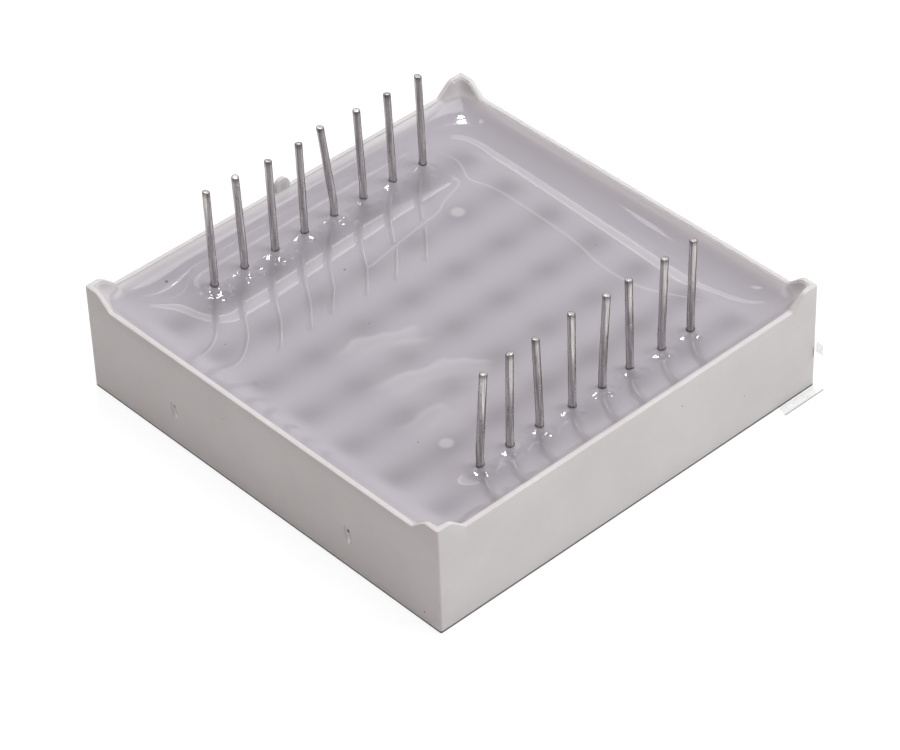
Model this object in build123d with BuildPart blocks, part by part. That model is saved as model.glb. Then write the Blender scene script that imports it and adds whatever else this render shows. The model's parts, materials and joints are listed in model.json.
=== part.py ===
from build123d import *
from math import atan, degrees, radians, sqrt, tan
import os

# An 8 by 8 LED dot matrix display, lying on its display face with its pins up.
# The origin is the centre of the display face, +Z points from the face to the pins,
# and +X runs along the two pin rows.  All sizes are in millimetres.

# ---------------------------------------------------------------- dots and light wells
dots = 8                      # dots along each side
dot_pitch = 4.0               # centre to centre, and the same from one display to the next
dot_front_d = 3.0             # well mouth at the display face
dot_back_d = 2.0              # well floor, where the board closes it
dot_facets = 12               # flats round each well
front_plate = 3.0             # thickness of the slab that holds the wells

# ---------------------------------------------------------------- housing
rim_height = 7.05             # top of the four walls
wall = 0.35                   # wall thickness at the rim
wall_draft = 2.5              # inner draft of the walls, degrees
corner_round = 0.15           # outer upright edges

ear_rise = 0.95               # corner ears above the rim: they set the display off its board
ear_flat = 1.15               # level top of an ear, from the corner along each wall
ear_flank = 1.1               # further run of the sloping flank down to the rim
ear_top_round = 0.6
ear_foot_round = 0.25

tab_width = 1.1               # round-topped tab in the middle of one wall
tab_rise = 0.85

mark_spacing = 16.0           # two shallow ejector marks on the -X wall
mark_height = 2.7
mark_length = 0.95
mark_width = 0.45
mark_tilt = 75.0
mark_depth = 0.05

peg_d = 1.0                   # two locating pegs, through the board on one diagonal
peg_clearance = 0.05

# ---------------------------------------------------------------- circuit board and dies
board_thickness = 1.2
board_clearance = 0.25        # gap round the board's edge, filled by the resin
board_round = 0.8

die_side = 0.36
die_height = 0.2

# ---------------------------------------------------------------- pins
pins_per_row = 8
pin_pitch = 2.54
row_outset = 0.065            # each row stands this far outside the web between two rows of dots
pin_d = 0.5
pin_stand = 6.3               # cut ends above the rim
shank_side = 0.35             # squared shank, in punched holes in the board
shank_stand = 0.5             # squared end below the board
bend_stand = 0.3              # each pin stands upright to this much above the rim, then leans

# sideways lean of each pin's cut end, x and y, from pin 1 round to pin 16
pin_leans = [
    (0.20, 0.35), (-0.05, 0.20), (0.00, 0.00), (0.00, 0.00),
    (-0.50, 0.30), (-0.20, 0.05), (-0.20, 0.00), (0.00, 0.00),
    (0.00, 0.00), (0.00, 0.00), (-0.40, 0.05), (0.20, -0.05),
    (0.05, 0.20), (-0.55, 0.00), (0.00, 0.10), (0.20, -0.15),
]

solder_base = 1.0             # solder fillet round each shank, on the die side of the board
solder_tip = 0.6
solder_height = 0.35

trough_clearance = 0.15       # relief in the front plate round the solder joints
trough_floor = 0.5            # and below the shanks' ends

# ---------------------------------------------------------------- potting resin
resin_drop = 0.85             # level surface below the rim
meniscus_rise = 0.75          # how far the resin climbs the walls
meniscus_radius = 3.0

# ---------------------------------------------------------------- protective film
film_thickness = 0.06         # clear peel-off film over the display face
film_margin = 0.1             # its edge, in from the case's sides
film_tab_width = 3.5          # tab past the -Y wall beside the +X corner, at its outer edge
film_tab_reach = 0.75         # how far it stands out from the wall
film_tab_flare = 72.0         # slope of its two ends, degrees
film_tab_inset = 1.65         # middle of the tab, in from the case's corner

scrap_reach = 0.6             # scrap of the same film that sticks out past that corner
scrap_grip = 0.8              # stretch of it that clings to the +X wall
scrap_low = 2.7
scrap_height = 0.95           # at the wall, and a little less at its free end
scrap_end_height = 0.8

# ---------------------------------------------------------------- worked out from the above
side = dots * dot_pitch       # displays butt together, so the side is a whole number of pitches
half = side / 2
ear_top = rim_height + ear_rise
ear_crest = half - ear_flat
board_top = front_plate + board_thickness
row_length = (pins_per_row - 1) * pin_pitch
row_spacing = (dots - 2) * dot_pitch + 2 * row_outset
pin_top = rim_height + pin_stand
bend_height = rim_height + bend_stand
trough_width = solder_base + 2 * trough_clearance
trough_depth = shank_stand + trough_floor
resin_level = rim_height - resin_drop
meniscus_top = resin_level + meniscus_rise
draft_slope = tan(radians(wall_draft))
well_taper = degrees(atan((dot_front_d - dot_back_d) / 2 / front_plate))
solder_taper = degrees(atan((solder_base - solder_tip) / 2 / solder_height))
peg_offset = 2 * dot_pitch    # pegs stand where the webs between the wells cross
peg_places = [(peg_offset, peg_offset), (-peg_offset, -peg_offset)]

hung = (Align.CENTER, Align.CENTER, Align.MAX)


def cavity_side(height):
    """Inside width between the walls at a height above the display face."""
    return side - 2 * wall - 2 * (rim_height - height) * draft_slope


def notch_outline():
    """What is cut off above the walls, seen square on: deep between the ears, shallow over them."""
    foot = ear_crest - ear_flank
    sky = ear_top + 2
    return [
        (-half - 1, ear_top),
        (-ear_crest, ear_top),
        (-foot, rim_height),
        (foot, rim_height),
        (ear_crest, ear_top),
        (half + 1, ear_top),
        (half + 1, sky),
        (-half - 1, sky),
    ]


def pin_place(number):
    """Centre of a pin, counted from 1 round the display."""
    if number <= pins_per_row:
        return (-row_length / 2 + (number - 1) * pin_pitch, row_spacing / 2)
    return (row_length / 2 - (number - 1 - pins_per_row) * pin_pitch, -row_spacing / 2)


def finish(part, name):
    part.label = name
    export_step(part, f"parts/{name}.step")


pin_places = [pin_place(n) for n in range(1, 2 * pins_per_row + 1)]
os.makedirs("parts", exist_ok=True)

# ================================================================ reflector housing
with BuildPart() as housing:
    with BuildSketch():
        RectangleRounded(side, side, corner_round)
    extrude(amount=ear_top + 1)
    # potting cavity above the front plate, opened by the walls' draft
    with BuildSketch(Plane.XY.offset(front_plate)):
        Rectangle(cavity_side(front_plate), cavity_side(front_plate))
    extrude(amount=ear_top + 1 - front_plate, taper=-wall_draft, mode=Mode.SUBTRACT)
    # walls cut down between the ears, across Y and then across X
    for plane in (Plane.XZ, Plane.YZ):
        with BuildSketch(plane) as notch:
            with BuildLine():
                Polyline(*notch_outline(), close=True)
            make_face()
            shoulders = notch.vertices().filter_by_position(Axis.X, -ear_crest, ear_crest)
            fillet(shoulders.filter_by_position(Axis.Y, ear_top, ear_top), ear_top_round)
            fillet(notch.vertices().group_by(Axis.Y)[0], ear_foot_round)
        extrude(amount=side, both=True, mode=Mode.SUBTRACT)
    # round-topped tab in the middle of the +Y wall
    with BuildSketch(Plane.XZ.offset(-half)):
        with Locations((0, rim_height + tab_rise - tab_width / 2)):
            Circle(tab_width / 2)
            Rectangle(tab_width, 2 * (tab_rise - tab_width / 2), align=(Align.CENTER, Align.MAX))
    extrude(amount=wall)
    # light wells, wide at the display face
    with BuildSketch():
        with GridLocations(dot_pitch, dot_pitch, dots, dots):
            RegularPolygon(dot_front_d / 2, dot_facets)
    extrude(amount=front_plate, taper=well_taper, mode=Mode.SUBTRACT)
    # relief for the soldered pin ends under each row
    with BuildSketch(Plane.XY.offset(front_plate)):
        with GridLocations(0, row_spacing, 1, 2):
            Rectangle(row_length + trough_width, trough_width)
    extrude(amount=-trough_depth, mode=Mode.SUBTRACT)
    # locating pegs, flush with the board
    with BuildSketch(Plane.XY.offset(front_plate)):
        with Locations(*peg_places):
            Circle(peg_d / 2)
    extrude(amount=board_thickness)
    # ejector marks
    with BuildSketch(Plane.YZ.offset(-half)):
        with GridLocations(mark_spacing, 0, 2, 1):
            with Locations((0, mark_height)):
                SlotOverall(mark_length, mark_width, rotation=mark_tilt)
    extrude(amount=mark_depth, mode=Mode.SUBTRACT)
finish(housing.part, "reflector_housing")

# ================================================================ circuit board
board_side = cavity_side(front_plate) - 2 * board_clearance
with BuildPart() as board:
    with BuildSketch(Plane.XY.offset(front_plate)):
        RectangleRounded(board_side, board_side, board_round)
        with Locations(*pin_places):
            Rectangle(shank_side, shank_side, mode=Mode.SUBTRACT)
        with Locations(*peg_places):
            Circle(peg_d / 2 + peg_clearance, mode=Mode.SUBTRACT)
    extrude(amount=board_thickness)
finish(board.part, "circuit_board")

# ================================================================ LED dies, and the epoxy dots over them
for row in range(dots):
    row_y = (row - (dots - 1) / 2) * dot_pitch
    with BuildPart(Plane.XY.offset(front_plate)) as dies:
        with Locations((0, row_y)):
            with GridLocations(dot_pitch, 0, dots, 1):
                Box(die_side, die_side, die_height, align=hung)
    finish(dies.part, f"led_dies_row_{row + 1}")

    with BuildPart() as plugs:
        with BuildSketch():
            with Locations((0, row_y)):
                with GridLocations(dot_pitch, 0, dots, 1):
                    RegularPolygon(dot_front_d / 2, dot_facets)
        extrude(amount=front_plate - die_height, taper=well_taper)
    finish(plugs.part, f"dot_epoxy_row_{row + 1}")

# ================================================================ pins
for number, (place, lean) in enumerate(zip(pin_places, pin_leans), start=1):
    x, y = place
    foot = (x, y, resin_level)
    tip = (x + lean[0], y + lean[1], pin_top)
    stops = [foot, (x, y, bend_height), tip] if any(lean) else [foot, tip]
    with BuildPart() as pin:
        # round wire from the resin to the cut end
        with BuildLine():
            Polyline(*stops)
        with BuildSketch(Plane.XY.offset(resin_level)):
            with Locations(place):
                Circle(pin_d / 2)
        sweep(transition=Transition.RIGHT)
        # squared shank down through resin and board
        with BuildSketch(Plane.XY.offset(front_plate - shank_stand)):
            with Locations(place):
                Rectangle(shank_side, shank_side)
        extrude(amount=resin_level - front_plate + shank_stand)
    finish(pin.part, f"pin_{number:02d}")

# ================================================================ solder joints
with BuildPart() as solder:
    with BuildSketch(Plane.XY.offset(front_plate)):
        with Locations(*pin_places):
            Rectangle(solder_base, solder_base)
    extrude(amount=-solder_height, taper=solder_taper)
    with BuildSketch(Plane.XY.offset(front_plate)):
        with Locations(*pin_places):
            Rectangle(shank_side, shank_side)
    extrude(amount=-solder_height, mode=Mode.SUBTRACT)
finish(solder.part, "solder_joints")

# ================================================================ potting resin
# the air above the resin: level below, rounded up to the walls
bowl_run = sqrt(meniscus_radius**2 - (meniscus_radius - meniscus_rise) ** 2)
bowl_side = cavity_side(meniscus_top) + 2 * (meniscus_radius - bowl_run)
with BuildPart() as bowl:
    with BuildSketch(Plane.XY.offset(resin_level)):
        Rectangle(bowl_side, bowl_side)
    extrude(amount=meniscus_radius + 1)
    fillet(bowl.faces().sort_by(Axis.Z)[0].edges(), meniscus_radius)

with BuildPart() as resin:
    with BuildSketch(Plane.XY.offset(front_plate)):
        Rectangle(cavity_side(front_plate), cavity_side(front_plate))
    extrude(amount=meniscus_top - front_plate, taper=-wall_draft)
    add(bowl.part, mode=Mode.SUBTRACT)
    # what the resin flowed round
    with BuildSketch(Plane.XY.offset(front_plate)):
        RectangleRounded(board_side, board_side, board_round)
    extrude(amount=board_thickness, mode=Mode.SUBTRACT)
    with BuildSketch(Plane.XY.offset(board_top)):
        with Locations(*pin_places):
            Rectangle(shank_side, shank_side)
    extrude(amount=resin_level - board_top, mode=Mode.SUBTRACT)
finish(resin.part, "potting_resin")

# ================================================================ protective film
film_side = side - 2 * film_margin
with BuildPart() as film:
    with BuildSketch():
        Rectangle(film_side, film_side)
        with Locations((half - film_tab_inset, -half - film_tab_reach)):
            tab_length = film_tab_reach + 2 * film_margin
            Trapezoid(film_tab_width, tab_length, film_tab_flare, align=(Align.CENTER, Align.MIN))
    extrude(amount=-film_thickness)
finish(film.part, "protective_film")

with BuildPart() as scrap:
    with BuildSketch(Plane.YZ.offset(half)):
        with BuildLine():
            Polyline(
                (-half + scrap_grip, scrap_low),
                (-half - scrap_reach, scrap_low),
                (-half - scrap_reach, scrap_low + scrap_end_height),
                (-half + scrap_grip, scrap_low + scrap_height),
                close=True,
            )
        make_face()
    extrude(amount=film_thickness)
finish(scrap.part, "film_scrap")
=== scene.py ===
import json
import math
import random

import bmesh
import bpy
import numpy as np
from mathutils import Matrix, Vector


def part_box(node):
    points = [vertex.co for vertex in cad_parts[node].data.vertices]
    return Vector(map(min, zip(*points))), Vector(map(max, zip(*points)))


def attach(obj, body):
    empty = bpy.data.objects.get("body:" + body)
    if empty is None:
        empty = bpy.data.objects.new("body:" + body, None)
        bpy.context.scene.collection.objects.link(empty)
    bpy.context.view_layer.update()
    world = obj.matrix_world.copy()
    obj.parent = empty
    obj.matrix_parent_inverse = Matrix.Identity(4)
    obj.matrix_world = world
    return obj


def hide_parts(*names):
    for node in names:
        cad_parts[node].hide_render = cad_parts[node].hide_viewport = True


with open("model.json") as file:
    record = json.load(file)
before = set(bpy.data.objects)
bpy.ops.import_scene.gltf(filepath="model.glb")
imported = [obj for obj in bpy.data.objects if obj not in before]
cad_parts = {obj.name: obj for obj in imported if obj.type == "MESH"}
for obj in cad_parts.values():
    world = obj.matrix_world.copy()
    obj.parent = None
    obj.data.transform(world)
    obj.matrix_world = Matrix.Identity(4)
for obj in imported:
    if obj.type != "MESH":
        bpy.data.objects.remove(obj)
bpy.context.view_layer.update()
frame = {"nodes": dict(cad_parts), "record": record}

# An LED dot matrix display lying on its display face, pins up.  Lengths in this file are in
# millimetres, in the frame of the CAD model, and MM turns them into Blender's metres.
MM = 0.001

# ---------------------------------------------------------------- sizes taken from the frame
case_low, case_high = (Vector(corner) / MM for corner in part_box("reflector_housing"))
half = case_high.x
ear_top = case_high.z
front_plate = (Vector(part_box("potting_resin")[0]) / MM).z
film_low = Vector(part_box("protective_film")[0]) / MM
studs = {mount["name"]: mount for mount in frame["record"]["mounts"]}
corner_studs = studs["pins_1_8_9_16"]["dims"]
row_length = corner_studs["spacing_x_mm"]
row_spacing = corner_studs["spacing_y_mm"]
pin_radius = corner_studs["stud_r_mm"]

# ---------------------------------------------------------------- sizes set here
pins_per_row = 8

# dots: as many rows as columns, in wells that narrow away from the display face
dots = 8
dot_pitch = 2 * half / dots
dot_front_radius = 1.5
dot_back_radius = 1.0
dot_segments = 48
well_lip = 0.04
well_depth = 2.8

# case: thickness of a wall at its top and slope of its inner face, then the roundings
wall = 0.35
wall_slope = math.tan(math.radians(2.5))
inside = half - wall
edge_round = 0.05
corner_radius = 0.15
inner_radius = 0.12

# ears at the corners: rise over the rim, flat top and flank along the wall, roundings of its ends
ear_rise = 0.95
ear_flat = 1.15
ear_flank = 1.1
shoulder_round = 0.22
foot_round = 0.08
rim_height = ear_top - ear_rise

# round-topped tab in the middle of the +Y wall
tab_radius = 0.55
tab_post = 0.3
tab_foot = 0.565

# two oval moulding marks on the -X wall: place, lean in radians, then half length and half width
mark_s, mark_z = 8.0, 2.7
mark_lean = 0.28
mark_oval = (0.66, 0.31)
mark_island = (0.48, 0.17)
groove_depth, island_rise, pit_depth = 0.085, 0.050, 0.09
# how far from a mark's middle the wall is shaped
mark_reach = 0.55

# distance between the sections drawn along a wall: where it is plain, at the ears and at the marks
plain_step, ear_step, mark_step = 1.5, 0.06, 0.03

# resin: level, then height and reach of each climb
resin_level = rim_height - 1.21
climb_height, climb_reach = 1.13, 1.35
dip_depth, dip_reach = 0.6, 1.5
row_rise, row_reach = 0.346, 5.1
pin_climb, pin_reach = 0.06, 0.55
# the climb round a pin is level inside this radius
pin_core = 0.2
# in the ears: how far below their tops it meets the wall and ends at most, and how fast it falls away
ear_contact_gap, ear_top_gap, ear_reach = 0.02, 0.03, 0.28
resin_grid = 313
# half width of the strip of thin resin along the +X, -X, +Y and -Y walls
thin_reach = (0.50, 0.25, 0.50, 0.25)

# creases of the resin's skin: half width of the ribbon, width and height of the raised line, step along it
crease_half, crease_width, crease_height, crease_step = 0.355, 0.085, 0.006, 0.12


def pin_foot(number):
    """Where a pin leaves the resin, counted from 1 round the display."""
    step = row_length / (pins_per_row - 1)
    if number <= pins_per_row:
        return (-row_length / 2 + (number - 1) * step, row_spacing / 2)
    return (row_length / 2 - (number - 1 - pins_per_row) * step, -row_spacing / 2)


pin_feet = {f"pin_{n:02d}": pin_foot(n) for n in range(1, 2 * pins_per_row + 1)}


# ================================================================ helpers
def add_mesh(name, vertices, faces, material):
    """A mesh piece that rides with the display, from vertices in millimetres."""
    mesh = bpy.data.meshes.new(name)
    scaled = np.asarray(vertices, dtype=float) * MM
    mesh.from_pydata(scaled.tolist(), [], [list(face) for face in faces])
    mesh.validate()
    mesh.update()
    mesh.materials.append(material)
    mesh.polygons.foreach_set("use_smooth", [True] * len(mesh.polygons))
    piece = bpy.data.objects.new(name, mesh)
    bpy.context.collection.objects.link(piece)
    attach(piece, "root")
    return piece


def tube_faces(start, levels, segments):
    """Faces of a closed tube, whose rings follow each other among the vertices from start on."""
    faces = []
    for level in range(levels - 1):
        below = start + level * segments
        above = below + segments
        for k in range(segments):
            n = (k + 1) % segments
            faces.append((below + k, below + n, above + n, above + k))
    last = start + (levels - 1) * segments
    faces.append([start + k for k in reversed(range(segments))])
    faces.append([last + k for k in range(segments)])
    return faces


def add_values(piece, name, values):
    """Gives each vertex of a piece a value that its material reads by name."""
    layer = piece.data.attributes.new(name, "FLOAT", "POINT")
    layer.data.foreach_set("value", values)


def bell(distance, width):
    """1 at no distance, falling off smoothly to both sides."""
    return np.exp(-(distance / width) ** 2)


def step_up(value, low, high):
    """Smooth step from 0 at low to 1 at high."""
    share = np.clip((value - low) / (high - low), 0, 1)
    return share * share * (3 - 2 * share)


def within(value, start, full_from, full_to, end):
    """1 between the two middle values, easing to 0 at the outer two."""
    return step_up(value, start, full_from) * step_up(-value, -end, -full_to)


def blend_low(a, b, width):
    """The lower of two heights, with their corner rounded off over a width."""
    share = np.clip(0.5 + 0.5 * (b - a) / width, 0, 1)
    return b + (a - b) * share - width * share * (1 - share)


def new_material(name):
    """A node material with a Principled shader, and its node tree."""
    material = bpy.data.materials.new(name)
    material.use_nodes = True
    tree = material.node_tree
    shader = tree.nodes["Principled BSDF"]
    return material, tree, shader


def object_coordinates(tree, scale=(1, 1, 1)):
    """Object space, in millimetres times scale."""
    place = tree.nodes.new("ShaderNodeTexCoord")
    mapping = tree.nodes.new("ShaderNodeMapping")
    mapping.inputs["Scale"].default_value = [s / MM for s in scale]
    tree.links.new(place.outputs["Object"], mapping.inputs["Vector"])
    return mapping.outputs["Vector"]


def noise(tree, vector, scale, detail=4.0, roughness=0.5):
    """Noise texture; its feature size is about one over scale."""
    node = tree.nodes.new("ShaderNodeTexNoise")
    node.inputs["Scale"].default_value = scale
    node.inputs["Detail"].default_value = detail
    node.inputs["Roughness"].default_value = roughness
    tree.links.new(vector, node.inputs["Vector"])
    return node.outputs["Fac"]


def ramp(tree, value, stops):
    """Colour ramp from a list of (position, colour)."""
    node = tree.nodes.new("ShaderNodeValToRGB")
    points = node.color_ramp.elements
    while len(points) < len(stops):
        points.new(0.5)
    for point, (position, colour) in zip(points, stops):
        point.position = position
        point.color = (*colour, 1.0)
    tree.links.new(value, node.inputs["Fac"])
    return node.outputs["Color"]


def grey_ramp(tree, value, stops):
    """Ramp of greys from a list of (position, level)."""
    return ramp(tree, value, [(position, (level, level, level)) for position, level in stops])


def mix_colour(tree, factor, first, second):
    """Mixes two colours or sockets; factor is a number or a socket."""
    node = tree.nodes.new("ShaderNodeMix")
    node.data_type = "RGBA"
    sockets = {s.identifier: s for s in node.inputs}
    for value, socket in ((factor, sockets["Factor_Float"]), (first, sockets["A_Color"]),
                          (second, sockets["B_Color"])):
        if isinstance(value, bpy.types.NodeSocket):
            tree.links.new(value, socket)
        elif isinstance(value, (int, float)):
            socket.default_value = value
        else:
            socket.default_value = (*value, 1.0)
    return next(s for s in node.outputs if s.identifier == "Result_Color")


def bump(tree, shader, height, distance, strength):
    """Bump from a height socket; distance in millimetres."""
    node = tree.nodes.new("ShaderNodeBump")
    node.inputs["Strength"].default_value = strength
    node.inputs["Distance"].default_value = distance * MM
    tree.links.new(height, node.inputs["Height"])
    tree.links.new(node.outputs["Normal"], shader.inputs["Normal"])


def calculate(tree, operation, *terms):
    """Math node; each term is a number or a socket."""
    node = tree.nodes.new("ShaderNodeMath")
    node.operation = operation
    for term, socket in zip(terms, node.inputs):
        if isinstance(term, bpy.types.NodeSocket):
            tree.links.new(term, socket)
        else:
            socket.default_value = term
    return node.outputs[0]


def attribute(tree, name):
    """A value that the piece's mesh carries under a name."""
    node = tree.nodes.new("ShaderNodeAttribute")
    node.attribute_name = name
    return node.outputs["Fac"]


def object_axis(tree, axis):
    """X, Y or Z in object space, in metres."""
    place = tree.nodes.new("ShaderNodeTexCoord")
    split = tree.nodes.new("ShaderNodeSeparateXYZ")
    tree.links.new(place.outputs["Object"], split.inputs["Vector"])
    return split.outputs[axis]


def span(tree, value, start, end):
    """0 at start and 1 at end, in millimetres, of a socket in metres."""
    node = tree.nodes.new("ShaderNodeMapRange")
    node.inputs["From Min"].default_value = start * MM
    node.inputs["From Max"].default_value = end * MM
    tree.links.new(value, node.inputs["Value"])
    return node.outputs["Result"]


def spots_mask(tree, spots):
    """1 inside small spots: ((x, y, z), radius, how many times taller than wide)."""
    place = tree.nodes.new("ShaderNodeTexCoord")
    total = None
    for centre, radius, tall in spots:
        squash = tree.nodes.new("ShaderNodeMapping")
        squash.inputs["Scale"].default_value = (1, 1, 1 / tall)
        tree.links.new(place.outputs["Object"], squash.inputs["Vector"])
        away = tree.nodes.new("ShaderNodeVectorMath")
        away.operation = "DISTANCE"
        away.inputs[1].default_value = (centre[0] * MM, centre[1] * MM, centre[2] * MM / tall)
        tree.links.new(squash.outputs["Vector"], away.inputs[0])
        spot = span(tree, away.outputs["Value"], radius, 0.45 * radius)
        total = spot if total is None else calculate(tree, "MAXIMUM", total, spot)
    return total


# ================================================================ materials
# dark spots on the case: ((x, y, z), radius, how many times taller than wide); the first is a tall dark
# streak down the +X, -Y corner, the rest small specks of dirt
case_dark_spots = [
    ((16, -16, 2.75), 0.30, 1.9),
    ((15.35, 14.3, 7.5), 0.09, 1),
    ((15.5, -9.6, 7.0), 0.08, 1),
    ((16, -12.2, 4.6), 0.07, 1),
    ((-16, -14.6, 0.84), 0.10, 1),
    ((4.1, -16, 5.4), 0.07, 1),
    ((9.6, -16, 2.9), 0.06, 1),
    ((-16, 3.2, 4.9), 0.05, 1),
]
# painted shade in the pits of the two moulding marks
mark_pit_shade = [
    ((-15.96, 7.93, 3.02), 0.13, 1),
    ((-15.96, -8.02, 2.96), 0.13, 1),
]
# painted highlights at the lower and upper ends of the two moulding marks
mark_highlights = [
    ((-15.97, 7.90, 2.30), 0.15, 2),
    ((-15.97, -8.05, 2.22), 0.15, 2),
    ((-15.97, 8.12, 3.25), 0.12, 1),
    ((-15.97, -7.85, 3.22), 0.12, 1),
]
resin_wetted = [
    ((0.02, 15.60, 7.32), 0.42, 1),
    ((15.55, 15.55, 6.95), 0.85, 1),
]
# specks of dirt on the resin
resin_specks = [
    ((-10.9, 14.4, 6.35), 0.13, 1),
    ((-12.0, 7.5, 5.95), 0.09, 1),
    ((-1.8, 7.85, 5.9), 0.12, 1),
    ((-4.3, 2.8, 5.84), 0.07, 1),
    ((-9.8, -7.6, 5.85), 0.07, 1),
    ((11.1, -1.6, 5.9), 0.07, 1),
    ((13.8, -14.2, 6.6), 0.08, 1),
    ((15.3, 14.3, 7.4), 0.12, 2),
]


def case_material():
    """Matt moulded plastic, pale grey with a dark printed face underneath, a painted contact shadow along the
    foot of the walls, and painted shade and highlights on the moulding marks.
    """
    material, tree, shader = new_material("case_plastic")
    vector = object_coordinates(tree)
    cloud = noise(tree, vector, 0.35, 3)
    body = ramp(tree, cloud, [(0.3, (0.665, 0.640, 0.635)), (0.7, (0.700, 0.675, 0.670))])
    speck = grey_ramp(tree, noise(tree, vector, 6.0, 2), [(0.28, 0.0), (0.32, 1.0)])
    body = mix_colour(tree, speck, (0.60, 0.57, 0.56), body)
    # dark spots, painted shade in the mark pits, painted highlights on the marks, and patches wetted by resin
    for spots, colour in (
        (case_dark_spots, (0.27, 0.255, 0.25)),
        (mark_pit_shade, (0.17, 0.16, 0.155)),
        (mark_highlights, (0.97, 0.96, 0.95)),
        (resin_wetted, (0.57, 0.55, 0.565)),
    ):
        body = mix_colour(tree, spots_mask(tree, spots), body, colour)
    # the dark print of the display face runs up the walls to a little above it, and this band also serves as
    # a painted contact shadow along the foot of the walls
    above_print_and_shadow = span(tree, object_axis(tree, "Z"), 0.13, 0.19)
    colour = mix_colour(tree, above_print_and_shadow, (0.030, 0.030, 0.032), body)
    tree.links.new(colour, shader.inputs["Base Color"])
    shader.inputs["Roughness"].default_value = 0.48
    shader.inputs["Specular IOR Level"].default_value = 0.35
    bump(tree, shader, noise(tree, vector, 9.0, 5, 0.6), 0.012, 0.6)
    return material


def resin_material():
    """Glossy potting resin over the pale board, tinted by the values that its pieces carry, which include
    painted shade along the rows of pins and painted highlights along the creases.
    """
    material, tree, shader = new_material("potting_resin")
    cloud = noise(tree, object_coordinates(tree), 0.12, 3)
    base = ramp(tree, cloud, [(0.3, (0.405, 0.380, 0.422)), (0.7, (0.425, 0.400, 0.442))])
    # darkened where the board shows through, and by painted shade along the rows of pins
    dark = mix_colour(tree, attribute(tree, "shade"), base, (0.180, 0.160, 0.185))
    plastic = attribute(tree, "plastic")
    thin = mix_colour(tree, plastic, dark, (0.56, 0.535, 0.54))
    # lightened by pale marks, pale spots over the pegs and painted highlights along the creases
    pale = mix_colour(tree, attribute(tree, "veil"), thin, (0.66, 0.65, 0.66))
    specked = mix_colour(tree, spots_mask(tree, resin_specks), pale, (0.17, 0.15, 0.16))
    tree.links.new(specked, shader.inputs["Base Color"])
    smooth = grey_ramp(tree, plastic, [(0.2, 0.03), (0.9, 0.45)])
    tree.links.new(smooth, shader.inputs["Roughness"])
    shader.inputs["IOR"].default_value = 1.52
    return material


def dot_material():
    """Milky epoxy in the wells of the display face."""
    material, tree, shader = new_material("dot_epoxy")
    vector = object_coordinates(tree)
    milk = ramp(tree, noise(tree, vector, 1.2, 3), [(0.3, (0.74, 0.73, 0.70)), (0.7, (0.79, 0.78, 0.75))])
    tree.links.new(milk, shader.inputs["Base Color"])
    shader.inputs["Roughness"].default_value = 0.22
    bump(tree, shader, noise(tree, vector, 2.5, 2), 0.01, 0.4)
    return material


def pin_material():
    """Tinned wire: dull metal with streaks along it and dark specks, with painted shade round its foot and a
    darker upper end.
    """
    material, tree, shader = new_material("tinned_wire")
    streak = noise(tree, object_coordinates(tree, (9, 9, 0.35)), 1.0, 5, 0.65)
    vector = object_coordinates(tree)
    tin = ramp(tree, streak, [
        (0.30, (0.30, 0.29, 0.28)),
        (0.50, (0.52, 0.50, 0.49)),
        (0.72, (0.74, 0.72, 0.71)),
    ])
    speck = grey_ramp(tree, noise(tree, vector, 3.2, 4, 0.7), [(0.28, 0.0), (0.36, 1.0)])
    tin = mix_colour(tree, speck, (0.14, 0.135, 0.13), tin)
    # darker in a band of painted shade round the foot, where the wire leaves the resin, and darker towards
    # the cut end
    tin = mix_colour(tree, attribute(tree, "foot_shade_and_dark_tip"), tin, (0.045, 0.042, 0.04))
    tree.links.new(tin, shader.inputs["Base Color"])
    shader.inputs["Specular Tint"].default_value = (0.35, 0.34, 0.33, 1)
    shader.inputs["Metallic"].default_value = 1.0
    rough = grey_ramp(tree, noise(tree, vector, 2.0, 3), [(0.3, 0.15), (0.7, 0.30)])
    tree.links.new(rough, shader.inputs["Roughness"])
    bump(tree, shader, streak, 0.012, 0.7)
    return material


def film_material():
    """Clear thin film, milky where it sticks out past the case, with a painted grey shadow along its outer
    edge.
    """
    material, tree, shader = new_material("clear_film")
    vector = object_coordinates(tree)
    along_y = object_axis(tree, "Y")
    out = span(tree, along_y, case_low.y - 0.02, case_low.y - 0.08)
    # painted grey shadow along the film's outer edge, where the film is also less clear
    rim = span(tree, along_y, film_low.y + 0.10, film_low.y + 0.03)
    mottle = ramp(tree, noise(tree, vector, 3.0, 3), [(0.30, (0.74, 0.73, 0.73)), (0.44, (0.94, 0.94, 0.93))])
    colour = mix_colour(tree, rim, mottle, (0.30, 0.29, 0.29))
    tree.links.new(colour, shader.inputs["Base Color"])
    shader.inputs["Roughness"].default_value = 0.12
    clear, milky, edged = 0.08, 0.22, 0.22
    cover = calculate(tree, "MULTIPLY_ADD", out, milky, clear)
    cover = calculate(tree, "MULTIPLY_ADD", rim, edged, cover)
    tree.links.new(cover, shader.inputs["Alpha"])
    return material


def plain_material(name, first, second, scale, roughness, metallic=0.0):
    """Mottled material for what the resin and the front face hide."""
    material, tree, shader = new_material(name)
    vector = object_coordinates(tree)
    colour = ramp(tree, noise(tree, vector, scale, 3), [(0.3, first), (0.7, second)])
    tree.links.new(colour, shader.inputs["Base Color"])
    shader.inputs["Roughness"].default_value = roughness
    shader.inputs["Metallic"].default_value = metallic
    return material


# ================================================================ case
def dot_centre(row, column):
    """Centre of a dot, counted from 0 at the lowest X and Y."""
    middle = (dots - 1) / 2
    return (column - middle) * dot_pitch, (row - middle) * dot_pitch


def circle(radius, height):
    """Points round the Z axis."""
    turns = [2 * math.pi * k / dot_segments for k in range(dot_segments)]
    return [(radius * math.cos(turn), radius * math.sin(turn), height) for turn in turns]


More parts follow.
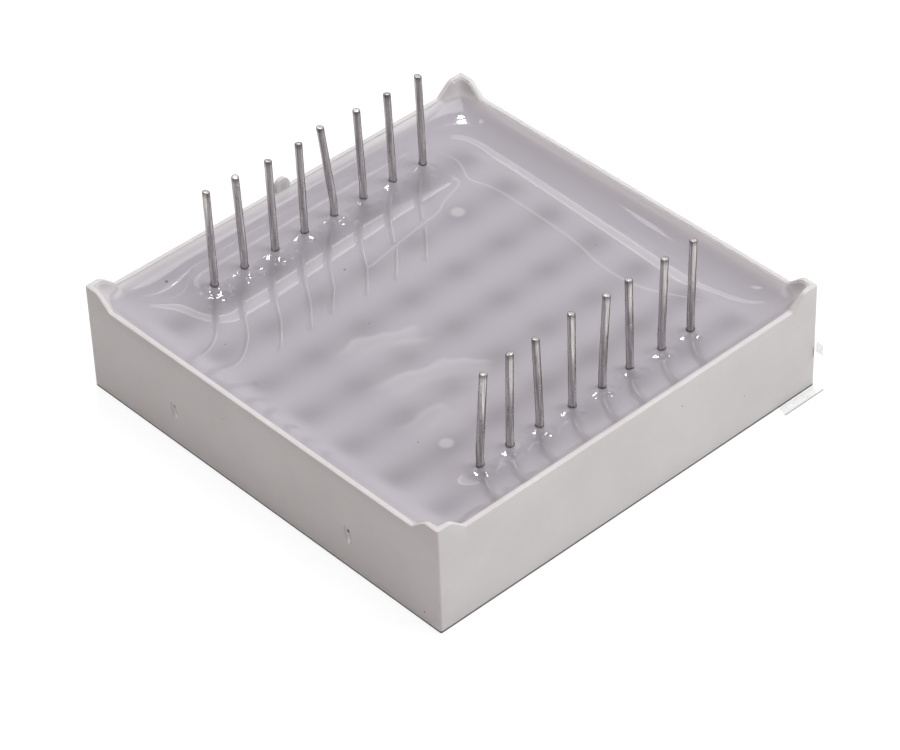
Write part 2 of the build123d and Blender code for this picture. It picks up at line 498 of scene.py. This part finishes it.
def ear_profile(s):
    """Height of a wall's top between its two ears; s is the distance from the wall's middle."""
    flank = ear_top - (half - ear_flat - np.abs(s)) * ear_rise / ear_flank
    shoulder = blend_low(flank, ear_top, shoulder_round)
    return -blend_low(-shoulder, -rim_height, foot_round)


def rim_profile(s, has_tab):
    """Height of a wall's top at a distance s from the wall's middle."""
    if has_tab and abs(s) <= tab_radius:
        return rim_height + tab_post + math.sqrt(tab_radius ** 2 - s ** 2)
    return float(ear_profile(s))


def wall_stations(has_tab, has_marks):
    """Places along a wall where its section is drawn: close at the ears, the tab and the marks."""
    end = inside - inner_radius
    start = half - ear_flat - ear_flank - 0.3
    ear = [start + ear_step * i for i in range(int((end - start) / ear_step) + 1)]
    plain = [plain_step * i for i in range(-8, 9)]
    places = {round(p, 5) for p in ear + [-e for e in ear] + plain + [end, -end]}
    if has_tab:
        tab = [tab_radius * math.sin(math.radians(a)) for a in range(-90, 91, 10)]
        places = {p for p in places if abs(p) >= tab_foot}
        places |= {round(p, 5) for p in tab + [-tab_foot, tab_foot]}
    if has_marks:
        places = {p for p in places if abs(abs(p) - mark_s) > mark_reach + 0.01}
        places |= {side * mark_s + mark_step * i for side in (-1, 1) for i in range(-18, 19)}
    return sorted(places)


def mark_depth(s, z):
    """Depth of an oval moulding mark: a groove round a low island, with a pit at its upper end."""
    across, up = abs(s) - mark_s, z - mark_z
    if s > 0:
        across = -across
    length = up * math.cos(mark_lean) + across * math.sin(mark_lean)
    width = across * math.cos(mark_lean) - up * math.sin(mark_lean)
    oval = math.hypot(length / mark_oval[0], width / mark_oval[1])
    island = math.hypot((length + 0.05) / mark_island[0], width / mark_island[1])
    pit = math.hypot(length - 0.30, width - 0.06)
    depth = groove_depth * (1 - float(step_up(oval, 0.80, 1.0)))
    depth -= island_rise * (1 - float(step_up(island, 0.65, 1.0)))
    return depth + pit_depth * (1 - float(step_up(pit, 0.03, 0.09)))


def case_section(top):
    """Section of a wall: (distance in from the outer face, height), from the front face to the cavity."""
    edge, bevel = edge_round, 0.3 * edge_round
    # close together where the marks are
    levels = [1.0] + [mark_z - 0.80 + 0.05 * i for i in range(33)] + [4.6, 6.0]
    outer = [(edge, 0.0), (bevel, bevel), (0.0, edge)] + [(0.0, z) for z in levels]
    crest = [(0.0, top - edge), (bevel, top - bevel), (edge, top)]
    inner = [(wall - edge, top), (wall - bevel, top - bevel), (wall, top - edge)]
    down = [(wall + (rim_height - z) * wall_slope, z) for z in (6.3, 5.6, front_plate)]
    return outer + crest + inner + down


def wall_rings(turn, rotation):
    """Sections along a wall, which faces local +x; turn 1 has the tab and turn 2, the -X wall, the marks."""
    has_tab, has_marks = turn == 1, turn == 2
    rings = []
    for s in wall_stations(has_tab, has_marks):
        section = case_section(rim_profile(s, has_tab))
        if has_marks and abs(abs(s) - mark_s) < mark_reach:
            section = [(d + mark_depth(s, z), z) if d == 0 else (d, z) for d, z in section]
        rings.append([(*(rotation @ Vector((half - d, s))), z) for d, z in section])
    return rings


def corner_rings(rotation):
    """Sections round the corner that follows a wall."""
    rings = []
    for step in range(7):
        angle = math.radians(15 * step)
        out = Vector((math.cos(angle), math.sin(angle)))
        ring = []
        for d, z in case_section(ear_top):
            outer_point = Vector((half - corner_radius,) * 2) + out * (corner_radius - min(d, edge_round))
            inner_point = Vector((half - max(d, wall) - inner_radius,) * 2) + out * inner_radius
            point = outer_point if d <= edge_round else inner_point
            if edge_round < d < wall:
                point = outer_point.lerp(inner_point, d / wall)
            ring.append((*(rotation @ point), z))
        rings.append(ring)
    return rings


def add_well(bm, centre):
    """Well of one dot, behind the front face; gives back the edges of its opening."""
    levels = ((dot_front_radius + well_lip, 0.0), (dot_front_radius, well_lip), (dot_back_radius, well_depth))
    loops = []
    for radius, z in levels:
        loops.append([bm.verts.new((centre + Vector(offset)) * MM) for offset in circle(radius, z)])
    for below, above in zip(loops, loops[1:]):
        for k in range(dot_segments):
            n = (k + 1) % dot_segments
            bm.faces.new((below[k], below[n], above[n], above[k]))
    bm.faces.new(loops[-1])
    opening = loops[0]
    return [bm.edges.get(pair) for pair in zip(opening, opening[1:] + opening[:1])]


def build_case(material):
    """Walls with ears and tab, a front face with 64 round wells, all one closed skin."""
    rings = []
    for turn in range(4):
        rotation = Matrix.Rotation(turn * math.pi / 2, 2)
        rings += wall_rings(turn, rotation) + corner_rings(rotation)
    bm = bmesh.new()
    grid = [[bm.verts.new(Vector(p) * MM) for p in ring] for ring in rings]
    neighbours = list(zip(grid, grid[1:] + grid[:1]))
    for ring, following in neighbours:
        for j in range(len(ring) - 1):
            bm.faces.new((ring[j], following[j], following[j + 1], ring[j + 1]))
    # floor of the potting cavity
    bm.faces.new([ring[-1] for ring in grid])
    # front face, and the wells behind it
    front_edges = [bm.edges.get((ring[0], following[0])) for ring, following in neighbours]
    for row in range(dots):
        for column in range(dots):
            front_edges += add_well(bm, Vector((*dot_centre(row, column), 0)))
    bmesh.ops.triangle_fill(bm, use_beauty=True, use_dissolve=False, edges=front_edges, normal=(0, 0, -1))
    bmesh.ops.recalc_face_normals(bm, faces=bm.faces)
    mesh = bpy.data.meshes.new("case")
    bm.to_mesh(mesh)
    bm.free()
    mesh.materials.append(material)
    piece = bpy.data.objects.new("case", mesh)
    bpy.context.collection.objects.link(piece)
    mesh.polygons.foreach_set("use_smooth", [True] * len(mesh.polygons))
    mesh.set_sharp_from_angle(angle=math.radians(38))
    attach(piece, "root")
    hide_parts("reflector_housing")


# ================================================================ dots
def build_dots(material):
    """Epoxy in the wells, one piece for each row, a little hollow at the display face."""
    hollow = [(0.35, 0.075), (0.75, 0.070), (1.15, 0.055), (dot_front_radius - 0.02, 0.03)]
    rings = hollow + [(dot_back_radius + 0.02, well_depth - 0.05)]
    for row in range(dots):
        vertices, faces = [], []
        for column in range(dots):
            centre_x, centre_y = dot_centre(row, column)
            start = len(vertices)
            for radius, height in rings:
                vertices += [(centre_x + x, centre_y + y, z) for x, y, z in circle(radius, height)]
            faces += tube_faces(start, len(rings), dot_segments)
        piece = add_mesh(f"dots_row_{row + 1}", vertices, faces, material)
        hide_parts(f"dot_epoxy_row_{row + 1}")


# ================================================================ resin
def wall_climb(away):
    """How far the resin is drawn up at a distance from a wall."""
    return climb_height * np.exp(-np.maximum(away, 0) / climb_reach)


def corner_dip(x, y):
    """How much lower the resin is in a corner than the climbs of the two walls add up to."""
    return dip_depth * np.exp(-np.hypot(inside - np.abs(x), inside - np.abs(y)) / dip_reach)


def wall_places(x, y):
    """For each wall, +X, -X, +Y and -Y, how far each place is from it and where it is along it."""
    return (inside - x, y), (inside + x, y), (inside - y, x), (inside + y, x)


def resin_surface(x, y):
    """Height of the resin: drawn up by the walls, along each row of pins and round each pin."""
    walls = wall_places(x, y)
    at_walls = sum(wall_climb(away) for away, _ in walls) - corner_dip(x, y)
    # in the ears it rises to just under their tops
    for away, along in walls:
        contact = resin_level + wall_climb(0) + wall_climb(inside - np.abs(along)) - corner_dip(inside, along)
        missing = np.maximum(ear_profile(along) - ear_contact_gap - contact, 0)
        at_walls += missing * np.exp(-np.maximum(away, 0) / ear_reach)
    height = resin_level + blend_low(at_walls, ear_top - ear_top_gap - resin_level, 0.05)
    for row_y in (-row_spacing / 2, row_spacing / 2):
        from_row = np.hypot(np.maximum(np.abs(x) - row_length / 2, 0), y - row_y)
        height += row_rise * np.clip(1 - from_row / row_reach, 0, 1) ** 2
    for foot_x, foot_y in pin_feet.values():
        from_pin = np.maximum(np.hypot(x - foot_x, y - foot_y), pin_core)
        height += pin_climb * np.exp(-from_pin / pin_reach)
    for spot_x, spot_y, rise, width in ripples:
        height += rise * np.exp(-((x - spot_x) ** 2 + (y - spot_y) ** 2) / width ** 2)
    return height


# drips beside each pin's foot: place from the foot, height and width
drips = (
    (-0.62, -0.10, 0.050, 0.34),
    (-0.10, -0.62, 0.042, 0.30),
    (-0.30, 0.45, 0.025, 0.28),
    (0.45, -0.30, 0.030, 0.26),
)
dimples_per_pin, dimple_height = 12, 0.024


def small_ripples():
    """Drips and dimples beside each pin's foot: (x, y, height, width)."""
    dice = random.Random(7)
    spots = []
    for foot_x, foot_y in pin_feet.values():
        for across, along, rise, width in drips:
            spot_x = foot_x + across + dice.uniform(-0.12, 0.12)
            spot_y = foot_y + along + dice.uniform(-0.12, 0.12)
            spots.append((spot_x, spot_y, rise * dice.uniform(0.8, 1.25), width * dice.uniform(0.85, 1.15)))
        for _ in range(dimples_per_pin):
            turn, away = dice.uniform(2.4, 5.6), dice.uniform(0.5, 1.35)
            spots.append((foot_x + away * math.cos(turn), foot_y + away * math.sin(turn),
                          dice.choice((-dimple_height, dimple_height)), dice.uniform(0.12, 0.18)))
    return spots


ripples = small_ripples()

# creases of the resin's skin, each a route
creases = [
    [(10.2, 12.9), (10.8, 11.9), (10.95, 11.0), (10.6, 10.1), (10.15, 9.3), (10.3, 8.6), (10.6, 7.8),
     (10.75, 6.6), (10.6, 1.6), (10.4, -0.8), (9.8, -3.2), (9.9, -6.3), (11.0, -8.7), (11.9, -10.6)],
    [(9.2, 10.6), (9.65, 9.9), (9.5, 9.2), (8.6, 8.9), (7.2, 8.5), (6.6, 8.0), (5.2, 7.85), (2.2, 7.4),
     (-0.6, 6.9)],
]


def resin_shade(x, y):
    """Dark blurred bands where the board shows through, darker over the crossings of the webs, with painted
    shade along the rows of pins.
    """
    # the spots lie a little to one side of the crossings
    shift_x, shift_y = -0.80, -1.20
    shade = np.zeros(x.shape)
    for row in range(-3, 4):
        band = bell(y - shift_y - row * dot_pitch, 1.15)
        spots = np.zeros(x.shape)
        for column in range(-3, 4):
            spots += bell(x - shift_x - column * dot_pitch, 1.05)
        depth = 0.34 if row == -2 else 0.28
        shade += band * (depth + 0.20 * spots)
    shade *= within(x, -14.3, -13.2, 11.6, 12.9)
    # painted shade along the two rows of pins, and a faint band of painted shade beside one of them
    for row_y in (-row_spacing / 2, row_spacing / 2):
        shade += 0.14 * within(x, -14.0, -9.5, 9.0, 12.5) * bell(y - row_y, 1.9)
    shade += 0.10 * within(x, -13.0, -9.0, 6.0, 11.0) * bell(y - 10.5, 0.75)
    return np.clip(shade, 0, 1)


def beside(x, y, line):
    """Distance of each place to the right of a line, negative on its left, and its share of the way."""
    nearest, side, share = np.full(x.shape, 99.0), np.ones(x.shape), np.zeros(x.shape)
    for number, ((x0, y0), (x1, y1)) in enumerate(zip(line, line[1:])):
        run_x, run_y = x1 - x0, y1 - y0
        along = np.clip(((x - x0) * run_x + (y - y0) * run_y) / (run_x ** 2 + run_y ** 2), 0, 1)
        away = np.hypot(x - x0 - along * run_x, y - y0 - along * run_y)
        closer = away < nearest
        nearest = np.where(closer, away, nearest)
        side = np.where(closer, np.sign((x - x0) * run_y - (y - y0) * run_x), side)
        share = np.where(closer, (number + along) / (len(line) - 1), share)
    return nearest * side, share


# pale marks painted on the resin: leading edge, reach behind it and strength
pale_marks = [
    ([(-8.6, 2.1), (-6.2, 2.35), (-4.2, 1.6), (-2.0, 0.3)], 1.3, 0.34),
    ([(-5.0, 0.6), (-3.4, 0.1), (-2.3, -1.0)], 0.7, 0.18),
    ([(-9.6, -1.6), (-7.5, -1.8), (-5.2, -2.4), (-3.4, -3.0), (-2.1, -4.1), (-1.1, -5.3)], 1.9, 0.36),
    ([(-10.4, -5.8), (-8.2, -5.6), (-6.0, -5.8)], 1.2, 0.24),
    ([(11.3, 12.3), (12.5, 10.9), (13.1, 8.5), (13.3, 0.0), (13.1, -6.0), (12.8, -11.8)], 0.9, 0.20),
]


def resin_veil(x, y):
    """Pale spots over the two pegs, and pale marks with one sharp edge each."""
    veil = np.zeros(x.shape)
    for edge_line, reach, strength in pale_marks:
        behind, share = beside(x, y, edge_line)
        behind = behind + 0.11 * np.sin(2.3 * x + 1.1 * y) + 0.06 * np.sin(4.1 * y - 1.9 * x)
        ends = step_up(share, 0, 0.35) * step_up(1 - share, 0, 0.12)
        streaks = 0.85 + 0.15 * np.sin(5.2 * behind + 1.5 * share)
        trail = step_up(behind, -0.15, 0.35) * np.exp(-np.maximum(behind, 0) / reach)
        veil += strength * ends * streaks * trail
    for sign in (-1, 1):
        spot = np.hypot(x + 0.68 - 8 * sign, y + 0.86 - 8 * sign)
        veil = np.maximum(veil, 0.40 * step_up(-spot, -0.62, -0.3))
    return veil


def resin_plastic(x, y):
    """Where the case's own plastic shows through: thin resin on the walls and in the ears."""
    seen = np.zeros(x.shape)
    for (away, _), reach in zip(wall_places(x, y), thin_reach):
        seen = np.maximum(seen, 0.7 * (1 - step_up(away, 0, 2 * reach)))
    height = resin_surface(x, y)
    return np.maximum(seen, step_up(height, rim_height - 0.15, rim_height + 0.1))


def build_resin(material):
    """The resin's surface as a fine grid, with a skirt down the walls and a flat base."""
    edge = inside + 0.02
    places = np.linspace(-edge, edge, resin_grid)
    x, y = np.meshgrid(places, places)
    top = np.stack([x, y, resin_surface(x, y)], axis=-1).reshape(-1, 3)
    index = np.arange(resin_grid ** 2).reshape(resin_grid, resin_grid)
    quads = np.stack([index[:-1, :-1], index[:-1, 1:], index[1:, 1:], index[1:, :-1]], axis=-1)
    ring = list(index[0, :]) + list(index[1:, -1]) + list(index[-1, -2::-1]) + list(index[-2:0:-1, 0])
    base = top[ring].copy()
    base[:, :2] *= (edge - 0.15) / edge
    base[:, 2] = front_plate + 0.1
    start = len(top)
    faces = quads.reshape(-1, 4).tolist()
    for k in range(len(ring)):
        n = (k + 1) % len(ring)
        faces.append([int(ring[n]), int(ring[k]), start + k, start + n])
    faces.append([start + k for k in reversed(range(len(ring)))])
    piece = add_mesh("resin", np.vstack([top, base]), faces, material)
    for name, values in (("shade", resin_shade), ("veil", resin_veil), ("plastic", resin_plastic)):
        add_values(piece, name, np.concatenate([values(x, y).ravel(), np.zeros(len(base))]))
    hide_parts("potting_resin")


def smooth_route(points):
    """Even points along a smooth curve that follows a few chosen ones."""
    points = np.array(points, dtype=float)
    for _ in range(3):
        near = 0.75 * points[:-1] + 0.25 * points[1:]
        far = 0.25 * points[:-1] + 0.75 * points[1:]
        middle = np.stack([near, far], axis=1).reshape(-1, 2)
        points = np.vstack([points[:1], middle, points[-1:]])
    gaps = np.hypot(*np.diff(points, axis=0).T)
    along = np.concatenate([[0], np.cumsum(gaps)])
    even = np.linspace(0, along[-1], max(4, int(along[-1] / crease_step)))
    return np.stack([np.interp(even, along, points[:, 0]), np.interp(even, along, points[:, 1])], axis=1)


def build_creases(material):
    """Fine creases of the resin's skin, each a raised narrow ribbon that sinks in at its sides and ends, with
    a painted highlight along its raised line.
    """
    across = np.linspace(-1, 1, 25)
    offset = across * crease_half
    line_profile = bell(offset, crease_width)
    vertices, faces, tints = [], [], {"shade": [], "veil": [], "plastic": []}
    start = 0
    for route in creases:
        line = smooth_route(route)
        heading = np.gradient(line, axis=0)
        heading /= np.hypot(heading[:, 0], heading[:, 1])[:, None]
        x = line[:, 0, None] - heading[:, 1, None] * offset
        y = line[:, 1, None] + heading[:, 0, None] * offset
        share = np.linspace(0, 1, len(line))
        fade = (step_up(share, 0, 0.12) * step_up(1 - share, 0, 0.06))[:, None]
        raised = line_profile * fade
        sink = 0.02 * np.abs(across) ** 6 + 0.004 * (1 - fade)
        z = resin_surface(x, y) + 0.004 + crease_height * raised - sink
        vertices.append(np.stack([x, y, z], axis=-1).reshape(-1, 3))
        index = start + np.arange(x.size).reshape(x.shape)
        quads = np.stack([index[:-1, :-1], index[1:, :-1], index[1:, 1:], index[:-1, 1:]], axis=-1)
        faces += quads.reshape(-1, 4).tolist()
        tints["shade"].append(resin_shade(x, y).ravel())
        # a painted highlight along each raised line
        tints["veil"].append(np.clip(resin_veil(x, y) + 0.25 * raised, 0, 1).ravel())
        tints["plastic"].append(resin_plastic(x, y).ravel())
        start += x.size
    piece = add_mesh("resin_wrinkles", np.vstack(vertices), faces, material)
    for name, values in tints.items():
        add_values(piece, name, np.concatenate(values))


# ================================================================ pins
# small sideways set of each pin at the resin and at its cut end
pin_sets = {name: (-0.04, 0.05) for name in pin_feet}
pin_sets.update({
    "pin_01": (-0.02, -0.03),
    "pin_02": (-0.07, -0.08),
    "pin_03": (-0.07, -0.13),
    "pin_04": (-0.10, -0.14),
    "pin_05": (-0.12, -0.13),
    "pin_06": (-0.13, -0.12),
    "pin_07": (-0.11, -0.10),
    "pin_08": (-0.04, -0.14),
    "pin_10": (-0.04, 0.10),
    "pin_11": (-0.17, 0.05),
    "pin_14": (-0.17, 0.05),
    "pin_15": (-0.11, 0.05),
})
# level, and to the right in the main view
sideways = Vector((0.744, -0.667, 0))

pin_segments = 32
# length under the resin, and height over the rim at which the lean begins
pin_buried = 1.2
bend_rise = 0.3
# rounded end: distance below the tip, share of the radius
pin_end = ((0.075, 0.995), (0.045, 0.965), (0.025, 0.90), (0.012, 0.72), (0.004, 0.45))


def build_pin(name, material, seed):
    """Round tinned wire, upright from the resin, then leaning, with a sheared, slightly domed end."""
    dice = random.Random(seed)
    low, high = (Vector(corner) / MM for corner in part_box(name))
    tip = high.z
    foot = Vector((*pin_feet[name], 0))
    lean = Vector((low.x + high.x, low.y + high.y, 0)) - 2 * foot
    foot_set, tip_set = pin_sets[name]
    bend = rim_height + bend_rise
    contact = float(resin_surface(np.array([foot.x - pin_core]), np.array([foot.y - pin_core]))[0])
    shear = Vector((dice.uniform(-0.07, 0.02), dice.uniform(-0.07, 0.02)))
    # even levels up the wire, and close ones at the resin and at the tip
    levels = int((tip - resin_level + pin_buried - 0.5) / 0.3) + 1
    heights = [resin_level - pin_buried + 0.3 * i for i in range(levels)]
    heights += [contact + step for step in (-0.16, -0.08, 0.0, 0.06, 0.12, 0.2, 0.3)]
    heights += [tip - step for step in (0.45, 0.3, 0.2, 0.13)]
    rows = [(z, 1.0) for z in sorted(set(heights))] + [(tip - below, swell) for below, swell in pin_end]
    vertices, foot_shade_and_dark_tip = [], []
    for z, swell in rows:
        share = max(0.0, (z - bend) / (tip - bend))
        centre = foot + lean * share + sideways * (foot_set + (tip_set - foot_set) * share)
        radius = pin_radius * swell * (0.985 + 0.01 * math.sin(3.1 * z + seed))
        collar = math.exp(-((z - contact - 0.04) / 0.11) ** 2)
        # painted shade round the foot, where the wire leaves the resin
        dark = 0.75 * collar
        # darker towards the cut end
        if z > tip - 0.5:
            dark = max(dark, 0.65 * min(1.0, (z - tip + 0.5) / 0.4))
        # the cut face is not darkened
        if swell < 0.8:
            dark = 0.0
        for k in range(pin_segments):
            angle = 2 * math.pi * k / pin_segments
            out = Vector((math.cos(angle), math.sin(angle)))
            uneven = 0.10 + 0.07 * math.sin(3 * angle + seed) + 0.05 * math.sin(7 * angle + 2 * seed)
            drop = min(0.0, out.dot(shear) * swell - 0.05) if z > tip - 0.14 else 0.0
            spot = radius * (1 + collar * uneven) * out
            vertices.append((centre.x + spot.x, centre.y + spot.y, z + drop))
            foot_shade_and_dark_tip.append(dark)
    faces = tube_faces(0, len(rows), pin_segments)
    piece = add_mesh(name + "_wire", vertices, faces, material)
    add_values(piece, "foot_shade_and_dark_tip", foot_shade_and_dark_tip)
    piece.data.set_sharp_from_angle(angle=math.radians(50))
    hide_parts(name)


# ================================================================ stage
# light of the surroundings on everything but the camera and mirrors
room_level = 0.315
room_light = (room_level, 0.885 * room_level, 0.885 * room_level)
# brightness of the patches that mirrors see on either side
mirrored_sides = 3.8
lamp_distance = 500


def build_floor():
    """Table that glows white to the camera, mirrors and glass, and is plain pale grey for other light."""
    bpy.ops.mesh.primitive_plane_add(size=4.0, location=(0, 0, (film_low.z - 0.02) * MM))
    floor = bpy.context.object
    floor.name = "table_top"
    material, tree, shader = new_material("table_top")
    shader.inputs["Roughness"].default_value = 0.9
    shader.inputs["Specular IOR Level"].default_value = 0.0
    rays = tree.nodes.new("ShaderNodeLightPath").outputs
    seen = calculate(tree, "MAXIMUM", rays["Is Camera Ray"], rays["Is Glossy Ray"])
    seen = calculate(tree, "MAXIMUM", seen, rays["Is Transmission Ray"])
    colour = mix_colour(tree, seen, (0.80, 0.80, 0.80), (0.22, 0.22, 0.22))
    tree.links.new(colour, shader.inputs["Base Color"])
    shader.inputs["Emission Color"].default_value = (1, 1, 1, 1)
    tree.links.new(calculate(tree, "MULTIPLY", seen, 0.88), shader.inputs["Emission Strength"])
    floor.data.materials.append(material)


def build_world():
    """White to the camera, a graded sky in reflections, and an even dim light on everything else."""
    world = bpy.data.worlds.new("surroundings")
    bpy.context.scene.world = world
    world.use_nodes = True
    tree = world.node_tree
    rays = tree.nodes.new("ShaderNodeLightPath").outputs
    place = tree.nodes.new("ShaderNodeTexCoord")
    split = tree.nodes.new("ShaderNodeSeparateXYZ")
    tree.links.new(place.outputs["Generated"], split.inputs["Vector"])
    up = split.outputs["Z"]
    # what mirrors see: white low down, brighter at mid height, greyer above
    sky = grey_ramp(tree, up, [(0.0, 1.0), (0.50, 1.3), (0.67, 1.3), (0.76, 0.88), (1.0, 0.6)])
    # and a bright patch at mid height on either side
    sideward = tree.nodes.new("ShaderNodeVectorMath")
    sideward.operation = "DOT_PRODUCT"
    sideward.inputs[1].default_value = (-0.743, 0.669, 0)
    tree.links.new(place.outputs["Generated"], sideward.inputs[0])
    either = calculate(tree, "ABSOLUTE", sideward.outputs["Value"])
    at_side = grey_ramp(tree, either, [(0.50, 0.0), (0.70, 1.0)])
    at_height = grey_ramp(tree, up, [(0.47, 0.0), (0.56, 1.0), (0.68, 1.0), (0.76, 0.0)])
    patch = calculate(tree, "MULTIPLY", at_side, at_height)
    sky = mix_colour(tree, patch, sky, (mirrored_sides,) * 3)
    mirrored = mix_colour(tree, rays["Is Glossy Ray"], room_light, sky)
    shown = mix_colour(tree, rays["Is Camera Ray"], mirrored, (1, 1, 1))
    background = tree.nodes["Background"]
    tree.links.new(shown, background.inputs["Color"])
    background.inputs["Strength"].default_value = 1.0


def build_lamps():
    """Soft key light from the front left, light from above, and the panes that the resin mirrors."""
    add_lamp("key_lamp", azimuth=-45, elevation=38, size=(300, 300), radiance=3.17,
             colour=(0.99, 1.08, 1.085))
    panes = ((46.3, 59), (52, 59), (57.7, 59), (46, 64.5), (52, 64.5), (58, 64.5))
    for number, (azimuth, elevation) in enumerate(panes, start=1):
        add_lamp(f"top_lamp_{number}", azimuth, elevation, size=(22, 32), radiance=40.0)
    for number, (azimuth, width) in enumerate(((37, 100), (85, 60)), start=1):
        add_lamp(f"side_panel_{number}", azimuth, elevation=57, size=(width, 8), radiance=3.0)
    add_lamp("halo_lamp", azimuth=52, elevation=60.5, size=(130, 85), radiance=1.2)
    add_lamp("overhead_lamp", azimuth=-42, elevation=79, size=(330, 330), radiance=2.8)
    add_lamp("band_lamp", azimuth=52.5, elevation=45.0, size=(126, 27), radiance=1.25)
    for number, elevation in enumerate((43.8, 45.0, 46.2), start=1):
        add_lamp(f"strip_lamp_{number}", azimuth=52.5, elevation=elevation, size=(126, 3), radiance=2.1)
    add_lamp("high_strip_lamp", azimuth=49.5, elevation=50.0, size=(87, 5), radiance=1.2)
    add_lamp("side_strip_lamp", azimuth=33, elevation=54.0, size=(110, 5), radiance=1.6)


def add_lamp(name, azimuth, elevation, size, radiance, colour=(1, 1, 1)):
    """Soft lamp that points at the display; azimuth is turned from +X towards +Y."""
    azimuth, elevation = math.radians(azimuth), math.radians(elevation)
    place = lamp_distance * Vector((math.cos(azimuth) * math.cos(elevation),
                                    math.sin(azimuth) * math.cos(elevation), math.sin(elevation)))
    lamp = bpy.data.lights.new(name, "AREA")
    lamp.shape = "RECTANGLE"
    lamp.size, lamp.size_y = size[0] * MM, size[1] * MM
    lamp.color = colour
    lamp.energy = radiance * math.pi * lamp.size * lamp.size_y
    holder = bpy.data.objects.new(name, lamp)
    bpy.context.collection.objects.link(holder)
    holder.location = place * MM
    holder.rotation_euler = (-place).to_track_quat("-Z", "Y").to_euler()


def add_camera():
    """Camera at the main view's angle, rolled a little."""
    azimuth, elevation, roll = (math.radians(angle) for angle in (-41.88, 39.92, -2.01))
    distance, aim = 228.25, Vector((-4.83, -5.10, 6.675))
    back = Vector((math.sin(azimuth) * math.cos(elevation), -math.cos(azimuth) * math.cos(elevation),
                   math.sin(elevation)))
    level_right = (-back).cross(Vector((0, 0, 1))).normalized()
    level_up = level_right.cross(-back)
    right = level_right * math.cos(roll) + level_up * math.sin(roll)
    up = level_up * math.cos(roll) - level_right * math.sin(roll)
    camera = bpy.data.cameras.new("camera")
    camera.lens = 151.09
    camera.sensor_width = 36
    camera.clip_start = 0.01
    holder = bpy.data.objects.new("camera", camera)
    bpy.context.collection.objects.link(holder)
    turn = Matrix((right, up, back)).transposed().to_4x4()
    holder.matrix_world = Matrix.Translation((aim + back * distance) * MM) @ turn
    bpy.context.scene.camera = holder


# ================================================================ the scene
add_camera()
build_floor()
build_world()
build_lamps()

build_case(case_material())
build_dots(dot_material())
skin = resin_material()
build_resin(skin)
build_creases(skin)
wire = pin_material()
for number, pin_name in enumerate(pin_feet, start=1):
    build_pin(pin_name, wire, number)

# CAD nodes that stay, each with a material
film = film_material()
kept = {
    "protective_film": film,
    "film_scrap": film,
    "circuit_board": plain_material("board_laminate", (0.50, 0.46, 0.36), (0.58, 0.54, 0.44), 1.5, 0.55),
    "solder_joints": plain_material("solder", (0.55, 0.55, 0.55), (0.68, 0.68, 0.68), 4.0, 0.35, 1.0),
}
die = plain_material("die", (0.16, 0.15, 0.15), (0.24, 0.22, 0.21), 8.0, 0.4)
for row in range(dots):
    kept[f"led_dies_row_{row + 1}"] = die
for node, material in kept.items():
    frame["nodes"][node].data.materials.clear()
    frame["nodes"][node].data.materials.append(material)

bpy.context.scene.view_settings.view_transform = "Standard"

bpy.context.view_layer.update()
